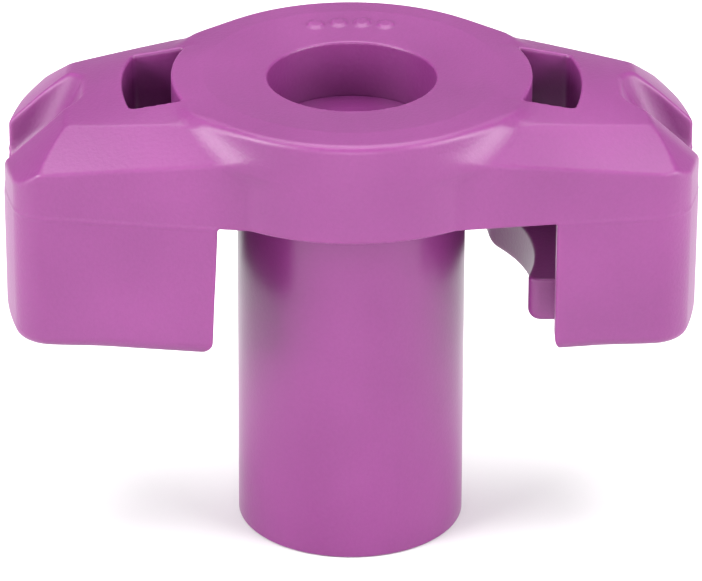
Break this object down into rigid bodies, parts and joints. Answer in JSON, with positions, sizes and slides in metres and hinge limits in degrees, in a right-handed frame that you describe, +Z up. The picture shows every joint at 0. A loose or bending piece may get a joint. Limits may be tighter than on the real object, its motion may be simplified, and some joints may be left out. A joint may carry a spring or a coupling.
{
  "type": "pop-up sprinkler nozzle",
  "caption": "Winged bayonet nozzle for a pop-up sprinkler: a round cap with hooked wings, a jet mouth in its top and a plain round inlet barrel below.",
  "frame": {"origin": "centre of the barrel's inlet end face, which the nozzle stands on", "axes": "+Z up along the barrel, towards the jet mouth; +X along the wings"},
  "size_m": [0.0364, 0.019, 0.0256],
  "materials": {
    "cap_plastic": "fine satin, as moulded",
    "barrel_plastic": "smooth, slightly glossy",
    "insert_plastic": "satin",
    "seal_rubber": "matte rubber"
  },
  "bodies": {
    "root": {"winged_cap": "cap_plastic", "nozzle_barrel": "barrel_plastic", "jet_orifice": "insert_plastic", "stream_straightener": "insert_plastic", "flange_seal": "seal_rubber"}
  },
  "joints": []
}
